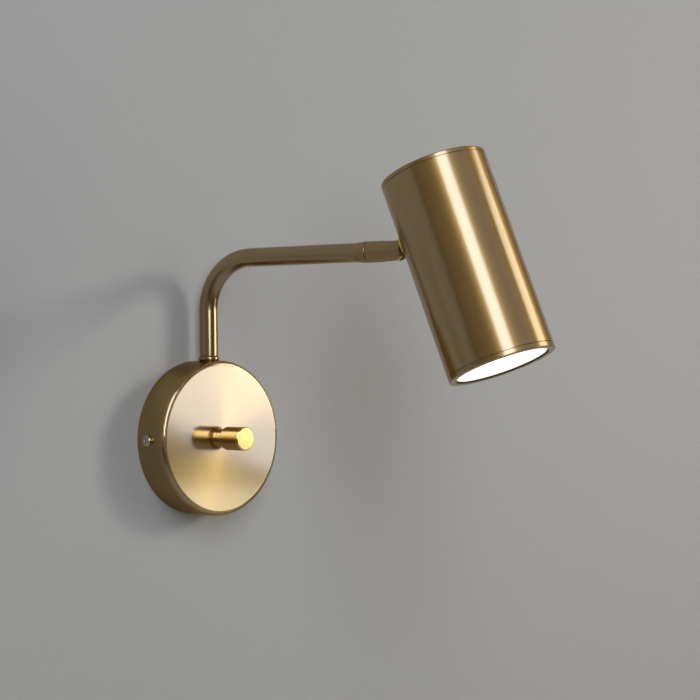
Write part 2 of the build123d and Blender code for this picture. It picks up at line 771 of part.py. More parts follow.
# Tongue: flat eye in the fork, collar against the head, hollow stud through the head's wall
with BuildPart() as tongue:
    with BuildSketch(stud_station(collar_start)):
        Circle(stud_collar_dia / 2)
    extrude(amount=stud_inside - collar_start)
    with BuildSketch(head_level(stud_below_top)):
        Circle(head_radius + seat_gap)
    extrude(amount=stud_collar_dia, both=True, mode=Mode.SUBTRACT)
    with BuildSketch(knuckle_side):
        Circle(eye_radius)
        Rectangle(collar_start + seam_gap, stem_width, align=(Align.MIN, Align.CENTER))
    extrude(amount=tongue_thickness / 2, both=True)
    with BuildSketch(stud_station(collar_start)):
        Circle(stud_dia / 2)
    extrude(amount=stud_end - collar_start)
    with BuildSketch(stud_station(stud_bore_stop)):
        Circle(stud_bore_dia / 2)
    extrude(amount=stud_end - stud_bore_stop, mode=Mode.SUBTRACT)
    with BuildSketch(Plane(origin=pivot + to_head * wire_exit, x_dir=across, z_dir=head_up)):
        Circle(stud_bore_dia / 2)
    extrude(amount=stem_width, both=True, mode=Mode.SUBTRACT)
    with BuildSketch(knuckle_side):
        Circle(tilt_screw_dia / 2 + running_gap)
    extrude(amount=tongue_thickness, both=True, mode=Mode.SUBTRACT)
save(tongue, "tongue")

# Tilt washers: thin friction discs on both faces of the eye
with BuildPart() as tilt_washers:
    for face_side in (1, -1):
        with BuildSketch(knuckle_side.offset(face_side * tongue_thickness / 2)):
            Circle(tilt_washer_dia / 2)
            Circle(tilt_screw_dia / 2 + running_gap, mode=Mode.SUBTRACT)
        extrude(amount=face_side * tilt_washer_thickness)
save(tilt_washers, "tilt_washers")

# Stud saddle, spring washer and nut inside the head
with BuildPart() as stud_saddle:
    with BuildSketch(stud_station(pivot_to_wall)):
        Circle(stud_saddle_dia / 2)
        Circle(stud_dia / 2 + hole_gap, mode=Mode.SUBTRACT)
    extrude(amount=stud_flat - pivot_to_wall)
    with BuildSketch(head_level(stud_below_top)):
        Circle(head_bore_radius - seat_gap)
    extrude(amount=stud_saddle_dia, both=True, mode=Mode.INTERSECT)
save(stud_saddle, "stud_saddle")
stud_washer = ring(stud_station(stud_flat), stud_washer_dia, stud_dia + 2 * hole_gap, stud_washer_thickness)
save(stud_washer, "stud_washer")
stud_nut = hex_nut(stud_station(stud_nut_start), stud_nut_flats, stud_dia + 2 * thread_gap,
                   stud_nut_thickness)
save(stud_nut, "stud_nut")

# Head tube: the shade's body, with the stud's hole in its side
with BuildPart() as head_tube:
    with BuildSketch(head_level(tube_bottom)):
        Circle(head_radius)
        Circle(head_bore_radius, mode=Mode.SUBTRACT)
    extrude(amount=tube_bottom - tube_top)
    with BuildSketch(stud_station(0)):
        Circle(stud_dia / 2 + hole_gap)
    extrude(amount=pivot_to_axis, mode=Mode.SUBTRACT)
save(head_tube, "head_tube")

# Top cap: a lid with a plug that fits the tube
top_cap = turned(head_side, head_axis, [
    (0, 0),
    (head_radius - cover_edge, 0),
    (head_radius, -cover_edge),
    (head_radius, -cap_band),
    (plug_radius, -cap_band),
    (plug_radius, -cap_band - cover_plug_depth),
    (plug_radius - cover_plug_wall, -cap_band - cover_plug_depth),
    (plug_radius - cover_plug_wall, -cap_band),
    (0, -cap_band),
])
save(top_cap, "top_cap")

# Bezel: the ring round the lit disc, with a ledge inside that the diffuser rests on
bezel = turned(head_side, head_axis, [
    (lit_radius, -head_length),
    (head_radius - cover_edge, -head_length),
    (head_radius, -head_length + cover_edge),
    (head_radius, -bezel_top),
    (plug_radius, -bezel_top),
    (plug_radius, -bezel_top + cover_plug_depth),
    (plug_radius - cover_plug_wall, -bezel_top + cover_plug_depth),
    (plug_radius - cover_plug_wall, -ledge_level),
    (lit_radius, -ledge_level),
])
save(bezel, "bezel")

# Diffuser: opal disc on the bezel's ledge, its middle standing down into the bezel's opening
ledge_radius = plug_radius - cover_plug_wall - slip_gap
boss_radius = lit_radius - slip_gap
diffuser = turned(head_side, head_axis, [
    (0, -diffuser_top),
    (ledge_radius, -diffuser_top),
    (ledge_radius, -ledge_level),
    (boss_radius, -ledge_level),
    (boss_radius, -head_length + diffuser_recess),
    (0, -head_length + diffuser_recess),
])
save(diffuser, "diffuser")

# Reflector: white cone from the board's edge to the diffuser
reflector_top_radius = board_dia / 2 + reflector_board_gap
reflector_foot_radius = plug_radius - cover_plug_wall - reflector_rim_gap
reflector = turned(head_side, head_axis, [
    (reflector_top_radius, -plate_bottom),
    (reflector_top_radius + reflector_wall, -plate_bottom),
    (reflector_foot_radius, -diffuser_top),
    (reflector_foot_radius - reflector_wall, -diffuser_top),
])
save(reflector, "reflector")

# Heat sink: a plate that fits the tube, with fins above it
with BuildPart() as heat_sink:
    with BuildSketch(head_level(plate_bottom)):
        Circle(plug_radius)
    extrude(amount=sink_plate_thickness)
    with BuildSketch(head_level(plate_top)):
        with GridLocations(sink_fin_pitch, 0, sink_fin_count, 1):
            Rectangle(sink_fin_thickness, head_dia)
        Circle(head_bore_radius - sink_fin_inset, mode=Mode.INTERSECT)
    extrude(amount=sink_fin_height)
    with BuildSketch(head_level(plate_bottom)):
        with Locations((-lead_path_offset, 0)):
            Circle(lead_hole_dia / 2)
        with PolarLocations(board_screw_ring_dia / 2, board_screw_count):
            Circle(board_screw_dia / 2 + thread_gap)
    extrude(amount=sink_plate_thickness, mode=Mode.SUBTRACT)
save(heat_sink, "heat_sink")

# Board with its chips and screws
with BuildPart() as led_board:
    with BuildSketch(head_level(plate_bottom)):
        Circle(board_dia / 2)
        with PolarLocations(board_screw_ring_dia / 2, board_screw_count):
            Circle(board_screw_dia / 2 + hole_gap, mode=Mode.SUBTRACT)
    extrude(amount=-board_thickness)
save(led_board, "led_board")

with BuildPart() as led_chips:
    with BuildSketch(head_level(board_bottom)):
        with PolarLocations(outer_chip_ring_dia / 2, outer_chip_count):
            Rectangle(chip_size, chip_size)
        with PolarLocations(inner_chip_ring_dia / 2, inner_chip_count):
            Rectangle(chip_size, chip_size)
    extrude(amount=-chip_height)
save(led_chips, "led_chips")

with BuildPart() as board_screws:
    for screw_place in PolarLocations(board_screw_ring_dia / 2, board_screw_count).local_locations:
        board_seat = Plane(origin=head_level(board_bottom).from_local_coords(screw_place.position),
                           x_dir=to_head, z_dir=-head_up)
        add_screw(board_seat, board_screw_head_dia, board_screw_head_height,
                  board_screw_dia, board_thickness + board_screw_grip)
        cut_drive(board_seat, board_screw_head_height, board_screw_dia, cross_width, cross_depth, 2)
save(board_screws, "board_screws")

# Lead: three stretches, cut where the swivel and the knuckle turn
driver_mouth = Vector(
    driver_length / 2 - lead_side_margin,
    driver_depth / 2 + pad_thickness - canopy_inside,
    driver_height / 2 - driver_below,
)
nipple_mouth = Vector(0, -swivel_out, nipple_foot - lead_end_gap)
with BuildPart() as driver_lead:
    with BuildLine():
        FilletPolyline(
            driver_mouth,
            (driver_mouth.X, driver_mouth.Y, nipple_mouth.Z - 2 * lead_rise),
            (nipple_mouth.X, nipple_mouth.Y, nipple_mouth.Z - lead_rise),
            nipple_mouth,
            radius=lead_bend_radius,
        )
    with BuildSketch(Plane(origin=driver_mouth, z_dir=up)):
        Circle(lead_dia / 2)
    sweep()
save(driver_lead, "driver_lead")

with BuildPart() as arm_lead:
    with BuildLine(arm_side):
        FilletPolyline((0, nipple_foot), (0, arm_height), (slot_bottom - lead_end_gap, arm_height),
                       radius=arm_bend_radius)
    with BuildSketch(swivel_level(nipple_foot)):
        Circle(lead_dia / 2)
    sweep()
save(arm_lead, "arm_lead")

with BuildPart() as head_lead:
    with BuildLine(head_side):
        FilletPolyline(
            (wire_exit - pivot_to_axis, -stud_below_top),
            (-lead_path_offset, -stud_below_top),
            (-lead_path_offset, -plate_bottom),
            radius=lead_turn_radius,
        )
    with BuildSketch(stud_station(wire_exit)):
        Circle(lead_dia / 2)
    sweep()
save(head_lead, "head_lead")
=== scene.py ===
# %% [markdown]
# A brass wall lamp, dressed for its picture. The solids come in as a fixed frame: a cup on the wall, a
# bent arm that swings, a knuckle and a spot head. They are exact in shape and size, so most of this
# lesson is about finish: what each surface is made of, which way it was brushed, and what it mirrors.

# %% Load the lamp's solids
import json
from math import cos, degrees, pi, radians, sin
import bmesh
import bpy
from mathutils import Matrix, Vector


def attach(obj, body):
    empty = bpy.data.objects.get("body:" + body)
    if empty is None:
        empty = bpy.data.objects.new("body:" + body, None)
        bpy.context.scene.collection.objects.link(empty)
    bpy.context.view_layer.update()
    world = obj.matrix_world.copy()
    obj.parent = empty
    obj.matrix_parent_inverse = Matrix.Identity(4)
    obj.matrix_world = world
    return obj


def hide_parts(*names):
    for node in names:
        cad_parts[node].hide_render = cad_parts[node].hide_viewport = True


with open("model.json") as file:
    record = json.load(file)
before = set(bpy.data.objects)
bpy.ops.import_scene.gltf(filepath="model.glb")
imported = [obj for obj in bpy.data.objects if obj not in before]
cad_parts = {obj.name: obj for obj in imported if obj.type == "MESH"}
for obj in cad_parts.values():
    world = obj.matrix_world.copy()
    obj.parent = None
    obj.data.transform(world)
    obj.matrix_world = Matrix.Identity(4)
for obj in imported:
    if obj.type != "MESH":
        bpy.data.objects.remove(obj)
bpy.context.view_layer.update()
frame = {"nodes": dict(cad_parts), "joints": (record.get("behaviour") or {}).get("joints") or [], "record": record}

MM = 0.001


# %% [markdown]
# The finishes follow the axes that the real pieces were turned on. Those axes are already known: each
# joint of the lamp gives one. Reading them from the joints, instead of typing them again, keeps the looks
# tied to the solids.

# %% Axes of the arm, the knuckle and the head
joints = {joint["name"]: joint for joint in frame["joints"]}
up = Vector((0, 0, 1))
out = Vector((0, -1, 0))
wall_centre = Vector((0, 0, 0))
swivel = Vector(joints["arm_swivel"]["pos_m"])
pivot = Vector(joints["head_tilt"]["pos_m"])
arm_dir = Vector(joints["head_roll"]["axis"])
tilt = radians(-sum(joints["head_tilt"]["range_deg"]) / 2)  # the range lies evenly about an upright head
to_head = arm_dir * cos(tilt) + up * sin(tilt)
head_up = up * cos(tilt) - arm_dir * sin(tilt)
pivot_to_axis = 42.7 * MM
head_centre = pivot + to_head * pivot_to_axis
print("head leans", round(degrees(tilt), 1), "degrees, axis", [round(side, 3) for side in head_up])

# %% [markdown]
# The camera stands where the photographer stood: to the left of the lamp, almost level with the cup,
# about 1.2 m away with a moderate long lens. Its place was worked out from the outlines of the cup, the
# tube and the head, which have to fall on the same pixels. It is turned by a fraction of a degree, as a
# hand-held picture is.

# %% Camera
camera_place = Vector((-783.8, -900.8, 51.5)) * MM
camera_pitch, camera_roll, camera_heading = 0.216, 0.62, 45.86  # degrees
film_width, focal_length = 36, 93.5  # mm
farthest = 50  # m, beyond the edges of the stage
bpy.ops.object.camera_add(
    location=camera_place,
    rotation=(radians(90 + camera_pitch), radians(camera_roll), radians(-camera_heading)),
)
camera = bpy.context.object
camera.data.sensor_width = film_width
camera.data.lens = focal_length
camera.data.clip_end = farthest
bpy.context.scene.camera = camera
print("camera is", round(camera_place.length / MM), "mm from the cup")

# %% [markdown]
# Three small tools serve every finish. Colours are written as the sRGB hex values that a colour picker
# shows, and one function turns them to the linear numbers that a shader works in. The second adds a node,
# gives it its settings and fills its inputs, either with a value or with a link from another node. The
# third starts a new material and sets on its shader what is the same all over the surface.

# %% Colour, node and material helpers
def linear(hex_colour):
    """An sRGB hex colour as linear red, green, blue and alpha, by the formula of the sRGB standard."""
    channels = [int(hex_colour[i:i + 2], 16) / 255 for i in (0, 2, 4)]
    return [c / 12.92 if c <= 0.04045 else ((c + 0.055) / 1.055) ** 2.4 for c in channels] + [1]


def add(tree, kind, inputs=(), **settings):
    """Adds a node, with its settings, and with values or links for its inputs."""
    made = tree.nodes.new("ShaderNode" + kind)
    for name, value in settings.items():
        setattr(made, name, value)
    for name, value in dict(inputs).items():
        if isinstance(value, bpy.types.NodeSocket):
            tree.links.new(value, made.inputs[name])
        else:
            made.inputs[name].default_value = value
    return made


def new_finish(name, **constants):
    """A new material with constants on its shader's own sockets. Gives its tree and its shader's inputs."""
    material = bpy.data.materials.new(name)
    material.use_nodes = True
    shader = material.node_tree.nodes["Principled BSDF"]
    for socket, value in constants.items():
        shader.inputs[socket.replace("_", " ")].default_value = value
    return material, material.node_tree, shader.inputs


print("mid grey in linear light:", [round(channel, 3) for channel in linear("808080")])

# %% [markdown]
# What a lathe leaves on a piece follows the piece's axis. A Mapping node of the Texture kind stands the
# piece upright on the origin, so that a point's distance from the Z axis is its radius, and its Z is its
# height.

# %% Places on a turned piece
def turned_place(tree, centre, axis):
    """Adds nodes that tell where a point lies: its place, its place laid flat, its radius and its height."""
    place = add(tree, "TexCoord").outputs["Object"]
    upright = axis.to_track_quat("Z", "Y").to_euler()
    local = add(tree, "Mapping", {"Vector": place, "Location": centre, "Rotation": upright},
                vector_type="TEXTURE").outputs[0]
    flat = add(tree, "VectorMath", {0: local, 1: (1, 1, 0)}, operation="MULTIPLY").outputs[0]
    radius = add(tree, "VectorMath", {0: flat}, operation="LENGTH").outputs["Value"]
    height = add(tree, "SeparateXYZ", {0: local}).outputs["Z"]
    return {"place": place, "flat": flat, "radius": radius, "height": height}


# %% [markdown]
# Satin brass is brass, or steel plated with it, that an abrasive pad has brushed and clear lacquer has
# sealed. Each scratch acts as a tiny groove: along it the metal still mirrors, across it the light smears
# out. On a turned piece the grooves run round the axis, which is why a brushed disc shows bright fans and
# a brushed tube shows one long streak. The shader's anisotropy does the smearing, along a tangent that
# points across the grooves. A point far down the axis gives that tangent on a disc and on a tube alike:
# the line from it to the surface, laid flat on the surface, always runs across the grooves. The lacquer
# is the shader's coat, and it whitens the highlights. It can be thick on an end face and thin below it,
# and a bore can be darkened with painted shade, which turns its tone and its lacquer down.

# %% Satin brass, brushed round an axis
groove = 0.25 * MM  # real ones are about 0.1 mm wide, and are drawn wider here so that they show
groove_arc = 1.5  # radians round the axis, the length of one scratch
cloud = 18 * MM  # size of the faint patches that hand brushing leaves
scratch_low, scratch_high = 0.3, 0.7  # where the noise of the scratches mostly lies
wear_low, wear_high = 0.6, 1.4  # the same for scratches and patches together
tone_drift, matt_drift = 0.06, 0.02  # how far they change tone and roughness, up and down
scratch_depth, scratch_strength = 0.05 * MM, 0.02
# painted shade in a bore: how sharply it ends, and the share of tone that it keeps
bore_edge, bore_shade_share = 0.2 * MM, 0.1  # how sharply a dark bore ends, and the share of tone that it keeps
lacquer_edge, thin_lacquer = 1.5 * MM, 0.25  # how soon the lacquer thins out, and the share that is left
tail = 1.0  # metres down the axis, where the tangent starts


def satin_brass(name, centre, axis, colour="9E8150", roughness=0.33, anisotropy=0.5, lacquer_ior=1.6,
                lacquer_roughness=0.2, lacquered_from=None, painted_shade_bore=None):
    """Brass brushed round an axis: grooves in tone, roughness and bump, and smeared highlights."""
    material, tree, shader = new_finish(
        name, Metallic=1, Anisotropic=anisotropy, Specular_Tint=linear("C9AC80"),
        Coat_Weight=1, Coat_IOR=lacquer_ior, Coat_Roughness=lacquer_roughness)
    at = turned_place(tree, centre, axis)
    round_axis = add(tree, "VectorMath", {0: at["flat"]}, operation="NORMALIZE").outputs[0]
    across_grooves = add(tree, "Math", {0: at["radius"], 1: at["height"]}, operation="ADD").outputs[0]
    fine = add(tree, "Math", {0: across_grooves, 1: groove_arc / groove}, operation="MULTIPLY").outputs[0]
    along = add(tree, "CombineXYZ", {"Z": fine}).outputs[0]
    scratch_place = add(tree, "VectorMath", {0: round_axis, 1: along}, operation="ADD").outputs[0]
    scratches = add(tree, "TexNoise", {"Vector": scratch_place, "Scale": 1 / groove_arc, "Detail": 3,
                                       "Roughness": 0.6}).outputs["Fac"]
    clouds = add(tree, "TexNoise", {"Vector": at["place"], "Scale": 1 / cloud, "Detail": 2}).outputs["Fac"]
    wear = add(tree, "Math", {0: scratches, 1: clouds}, operation="ADD").outputs[0]
    shade = add(tree, "MapRange", {"Value": wear, "From Min": wear_low, "From Max": wear_high,
                                   "To Min": 1 - tone_drift, "To Max": 1 + tone_drift}).outputs[0]
    tone = add(tree, "VectorMath", {0: linear(colour)[:3], "Scale": shade}, operation="SCALE").outputs[0]
    # painted shade: inside this radius the tone and the lacquer are turned down, so a ring's bore reads dark
    if painted_shade_bore:
        bore = add(tree, "MapRange", {"Value": at["radius"], "From Min": painted_shade_bore,
                                      "From Max": painted_shade_bore + bore_edge, "To Min": bore_shade_share,
                                      "To Max": 1}).outputs[0]
        tone = add(tree, "VectorMath", {0: tone, "Scale": bore}, operation="SCALE").outputs[0]
        tree.links.new(bore, shader["Coat Weight"])
    tree.links.new(tone, shader["Base Color"])
    matt = add(tree, "MapRange", {"Value": scratches, "From Min": scratch_low, "From Max": scratch_high,
                                  "To Min": roughness - matt_drift,
                                  "To Max": roughness + matt_drift}).outputs[0]
    tree.links.new(matt, shader["Roughness"])
    bump = add(tree, "Bump", {"Height": scratches, "Strength": scratch_strength,
                              "Distance": scratch_depth}).outputs[0]
    tree.links.new(bump, shader["Normal"])
    if lacquered_from:
        lacquer = add(tree, "MapRange", {"Value": at["height"], "From Min": lacquered_from - lacquer_edge,
                                         "From Max": lacquered_from, "To Min": thin_lacquer,
                                         "To Max": 1}).outputs[0]
        tree.links.new(lacquer, shader["Coat Weight"])
    tangent = add(tree, "VectorMath", {0: at["place"], 1: centre - axis * tail},
                  operation="SUBTRACT").outputs[0]
    tangent = add(tree, "VectorTransform", {0: tangent}, vector_type="VECTOR", convert_from="OBJECT",
                  convert_to="WORLD").outputs[0]
    tree.links.new(tangent, shader["Tangent"])
    return material


# %% [markdown]
# Each satin piece has its own axis, and its own tone and gloss as well. The cup was spun and its face
# shines under a thick lacquer, while its side has a thin coat. The head and the ring round its light were
# turned on the same axis and share one finish, but the ring's bore gets painted shade round the lit disc.
# The arm is drawn tube, bent after brushing, so its highlights spread evenly and it gets no anisotropy.

# %% Satin brass pieces
cup_depth = 25 * MM
just_below = 0.1 * MM
# where the painted shade in the light ring's bore begins, a hair past the bore itself
bore_radius = 28.85 * MM
head_finish = {"colour": "A0803E", "roughness": 0.38, "lacquer_ior": 1.95, "lacquer_roughness": 0.15}
cup_brass = satin_brass(
    "satin_brass_spun_cup", wall_centre, out, colour="A0854F", roughness=0.22, anisotropy=1,
    lacquer_ior=2.5, lacquer_roughness=0.1, lacquered_from=cup_depth - just_below)
head_brass = satin_brass("satin_brass_turned_head", head_centre, head_up, **head_finish)
ring_brass = satin_brass("satin_brass_light_ring", head_centre, head_up, painted_shade_bore=bore_radius, **head_finish)
arm_brass = satin_brass(
    "satin_brass_drawn_tube", swivel, up, colour="987F52", roughness=0.16, anisotropy=0,
    lacquer_ior=1.7, lacquer_roughness=0.16)
bead_brass = satin_brass("satin_brass_bead", swivel, up, colour="9C845A", roughness=0.16, anisotropy=0)
knuckle_brass = satin_brass("satin_brass_turned_knuckle", pivot, arm_dir, anisotropy=0.3)
print("satin brass:", [material.name for material in bpy.data.materials if material.name.startswith("satin")])

# %% [markdown]
# The knob, the neck under it and the tongue in the knuckle are polished brass: buffed until the scratches
# are gone, and left yellower than the satin pieces. It mirrors sharply under its lacquer, so only a trace
# of buffing haze is kept in its roughness.

# %% Polished brass
polished_brass, tree, shader = new_finish("polished_brass", Metallic=1, Coat_Weight=1, Coat_Roughness=0.08)
buffing = 2 * MM
clearest, haziest = 0.1, 0.2
place = add(tree, "TexCoord").outputs["Object"]
haze = add(tree, "TexNoise", {"Vector": place, "Scale": 1 / buffing, "Detail": 4}).outputs["Fac"]
tone = add(tree, "Mix", {"Factor": haze, 6: linear("E6C070"), 7: linear("DDB766")}, data_type="RGBA")
tree.links.new(tone.outputs[2], shader["Base Color"])
sheen = add(tree, "MapRange", {"Value": haze, "To Min": clearest, "To Max": haziest}).outputs[0]
tree.links.new(sheen, shader["Roughness"])
print("polished brass: roughness from", clearest, "to", haziest)

# %% [markdown]
# Screws are nickel plated, and what hides behind the cup is zinc-plated sheet steel. Both are greys of
# metal: nickel is warm and bright, zinc is cooler and shows the faint spangle of its crystals.

# %% Nickel and zinc plate
plates = {}
for plate, pale, dark, spangle, low, high in (
    ("nickel_plate", "CFCAC0", "B9B3A8", 1.5 * MM, 0.15, 0.28),
    ("zinc_plate", "BDC1C4", "A3A8AC", 4 * MM, 0.28, 0.45),
):
    plates[plate], tree, shader = new_finish(plate, Metallic=1)
    place = add(tree, "TexCoord").outputs["Object"]
    crystals = add(tree, "TexVoronoi", {"Vector": place, "Scale": 1 / spangle}).outputs["Color"]
    grey = add(tree, "RGBToBW", {0: crystals}).outputs[0]
    tone = add(tree, "Mix", {"Factor": grey, 6: linear(pale), 7: linear(dark)}, data_type="RGBA")
    tree.links.new(tone.outputs[2], shader["Base Color"])
    matt = add(tree, "MapRange", {"Value": grey, "To Min": low, "To Max": high}).outputs[0]
    tree.links.new(matt, shader["Roughness"])
print("plated finishes:", list(plates))

# %% [markdown]
# Moulded plastics, foam tape, cable sheath, cast aluminium and the white board share one build: a base
# colour that drifts a little, the fine texture of the mould or the sheath, and a roughness that follows
# it. Only the colours and the grain size differ, so one loop makes them all.

# %% Moulded and coated finishes
moulded = {}
texture_strength = 0.4
for name, pale, dark, grain, low, high, depth in (
    ("white_nylon", "E6E3DB", "DAD6CC", 0.5 * MM, 0.42, 0.55, 0.02 * MM),
    ("black_nylon", "26262A", "1B1B1D", 0.5 * MM, 0.42, 0.58, 0.02 * MM),
    ("foam_tape", "3A3A3C", "2A2A2B", 0.9 * MM, 0.8, 0.95, 0.15 * MM),
    ("lead_sheath", "2B2A29", "201F1E", 0.7 * MM, 0.4, 0.55, 0.02 * MM),
    ("white_reflector", "F0EEE8", "E7E4DC", 0.8 * MM, 0.5, 0.6, 0.02 * MM),
    ("white_board", "E9E8E2", "DEDCD4", 0.6 * MM, 0.25, 0.35, 0.01 * MM),
    ("cast_aluminium", "BFC0C2", "A9AAAD", 0.8 * MM, 0.4, 0.55, 0.05 * MM),
    ("led_phosphor", "F2C14A", "E3AE38", 0.3 * MM, 0.25, 0.4, 0.02 * MM),
):
    moulded[name], tree, shader = new_finish(name, Metallic=1.0 if name == "cast_aluminium" else 0.0)
    place = add(tree, "TexCoord").outputs["Object"]
    texture = add(tree, "TexNoise", {"Vector": place, "Scale": 1 / grain, "Detail": 3}).outputs["Fac"]
    tone = add(tree, "Mix", {"Factor": texture, 6: linear(pale), 7: linear(dark)}, data_type="RGBA")
    tree.links.new(tone.outputs[2], shader["Base Color"])
    matt = add(tree, "MapRange", {"Value": texture, "To Min": low, "To Max": high}).outputs[0]
    tree.links.new(matt, shader["Roughness"])
    bump = add(tree, "Bump", {"Height": texture, "Strength": texture_strength, "Distance": depth}).outputs[0]
    tree.links.new(bump, shader["Normal"])
print("moulded and coated finishes:", list(moulded))

# %% [markdown]
# The lit disc is opal acrylic with the light on behind it. It glows evenly, a little weaker towards its
# rim. The last millimetre lies over the ledge that carries it, which keeps the light from behind away, so
# it stays dark. The glow is warm white and only just over full white, so the disc keeps its edge.

# %% Opal acrylic
sheet_grain = 6 * MM
bright_radius, rim_radius = 20 * MM, 29 * MM
middle_glow, rim_glow = 1.3, 1.0
ledge_start, ledge_end, ledge_glow = 27.6 * MM, 28.4 * MM, 0.1
opal, tree, shader = new_finish("opal_acrylic", Roughness=0.35, Emission_Color=linear("FFF6E6"))
at = turned_place(tree, head_centre, head_up)
grain = add(tree, "TexNoise", {"Vector": at["place"], "Scale": 1 / sheet_grain}).outputs["Fac"]
tone = add(tree, "Mix", {"Factor": grain, 6: linear("F4F1EA"), 7: linear("EDE9E0")}, data_type="RGBA")
tree.links.new(tone.outputs[2], shader["Base Color"])
glow = add(tree, "MapRange", {"Value": at["radius"], "From Min": bright_radius, "From Max": rim_radius,
                              "To Min": middle_glow, "To Max": rim_glow}).outputs[0]
ledge_shade = add(tree, "MapRange", {"Value": at["radius"], "From Min": ledge_start, "From Max": ledge_end,
                                     "To Min": 1, "To Max": ledge_glow}).outputs[0]
glow = add(tree, "Math", {0: glow, 1: ledge_shade}, operation="MULTIPLY").outputs[0]
tree.links.new(glow, shader["Emission Strength"])
print("opal disc: glow", middle_glow, "in the middle and", rim_glow, "towards the rim")

# %% [markdown]
# Some pieces catch the eye by their edges: the knob, its neck, the bead under the arm, the head's cap and
# its ring were turned on a lathe, and a turner breaks every edge. The solids have small straight chamfers
# there, so these pieces are made again with round edges. A turned piece could be a cylinder with bevels,
# but its half outline is the turner's own drawing: it is drawn point by point, each corner gets its
# rounding, and a spin makes the piece.

# %% Turned pieces from a half outline
same_place, weld = MM / 100, MM / 1000
corner_segments = 6


def select_points(piece, places):
    """Selects the points of a mesh in edit mode that lie at these places."""
    bpy.ops.mesh.select_all(action="DESELECT")
    mesh = bmesh.from_edit_mesh(piece.data)
    for point in mesh.verts:
        point.select = any((point.co - place).length < same_place for place in places)
    mesh.select_flush_mode()
    bmesh.update_edit_mesh(piece.data)


def turned(name, centre, axis, outline, steps=128):
    """A turned piece from its half outline: points of radius, height along the axis and rounding, in mm."""
    points = [Vector((radius, 0, height)) * MM for radius, height, rounding in outline]
    bpy.ops.object.select_all(action="DESELECT")
    bpy.ops.mesh.primitive_plane_add(size=MM)
    piece = bpy.context.object
    piece.name = name
    bpy.ops.object.mode_set(mode="EDIT")
    bpy.ops.mesh.select_mode(type="VERT")
    bpy.ops.mesh.merge(type="CENTER")
    bpy.ops.transform.translate(value=points[0])
    for last, point in zip(points, points[1:]):
        bpy.ops.mesh.extrude_region_move(TRANSFORM_OT_translate={"value": point - last})
    if outline[0][0] > 0:  # a ring: its outline is closed
        select_points(piece, [points[0], points[-1]])
        bpy.ops.mesh.edge_face_add()
    for point, (radius, height, rounding) in zip(points, outline):
        if rounding:
            select_points(piece, [point])
            bpy.ops.mesh.bevel(offset=rounding * MM, segments=corner_segments, affect="VERTICES")
    bpy.ops.mesh.select_all(action="SELECT")
    bpy.ops.mesh.spin(steps=steps, angle=2 * pi, center=(0, 0, 0), axis=(0, 0, 1))
    bpy.ops.mesh.select_all(action="SELECT")
    bpy.ops.mesh.remove_doubles(threshold=weld)
    bpy.ops.mesh.normals_make_consistent(inside=False)
    bpy.ops.object.mode_set(mode="OBJECT")
    piece.location = centre
    piece.rotation_euler = axis.to_track_quat("Z", "Y").to_euler()
    bpy.ops.object.transform_apply(location=True, rotation=True, scale=True)
    return piece


# %% [markdown]
# A hole across a turned piece can't come from the spin. A cylinder is subtracted instead by a boolean
# modifier, and then removed. The boolean can leave points that lie on each other, so they are merged.

# %% Round holes
hole_sides = 256


def cut(piece, radius, depth, centre, axis):
    """Takes a round hole, or a round hollow, out of a piece."""
    bpy.ops.object.select_all(action="DESELECT")
    bpy.ops.mesh.primitive_cylinder_add(vertices=hole_sides, radius=radius, depth=depth, location=centre,
                                        rotation=axis.to_track_quat("Z", "Y").to_euler())
    cutter = bpy.context.object
    bpy.context.view_layer.objects.active = piece
    bpy.ops.object.modifier_add(type="BOOLEAN")
    piece.modifiers[-1].object = cutter
    bpy.ops.object.modifier_apply(modifier=piece.modifiers[-1].name)
    bpy.data.objects.remove(cutter)
    bpy.ops.object.mode_set(mode="EDIT")
    bpy.ops.mesh.select_all(action="SELECT")
    bpy.ops.mesh.remove_doubles(threshold=weld)
    bpy.ops.object.mode_set(mode="OBJECT")


# %% [markdown]
# A finished piece takes the place of its solid and moves with the same body. Its faces are shaded smooth
# up to the sharp corners, and a weighted normal modifier keeps the flat faces flat beside the rounded
# edges. The record tells which material slot and which body belong to each solid.

# %% Smoothing and placing
sharp_corner = radians(40)
slots = {subpart["node"]: subpart["material_slot"] for subpart in frame["record"]["subparts"]}
body_of = {node: body for body, nodes in frame["record"]["behaviour"]["bodies"].items() for node in nodes}


def smooth(piece):
    """Smooth shading up to the corners, with flat faces kept flat."""
    bpy.ops.object.shade_smooth_by_angle(angle=sharp_corner)
    bpy.ops.object.modifier_add(type="WEIGHTED_NORMAL")
    piece.modifiers[-1].keep_sharp = True
    bpy.ops.object.modifier_apply(modifier=piece.modifiers[-1].name)


def stands_for(piece, node, finish):
    """Smooths and finishes a piece and puts it in the place of a solid, on the same body."""
    bpy.ops.object.select_all(action="DESELECT")
    piece.select_set(True)
    bpy.context.view_layer.objects.active = piece
    smooth(piece)
    piece.data.materials.clear()
    piece.data.materials.append(finish)
    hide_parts(node)
    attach(piece, body_of[node])
    print(piece.name, "stands for", node, "with", len(piece.data.polygons), "faces")


# %% [markdown]
# The knob is a plain polished cylinder with a bevel at its foot and at its front rim, a fine groove
# behind that rim and a blind bore for the spindle. A small hole in its underside takes the grub screw.
# The neck is the round nut that holds the switch.

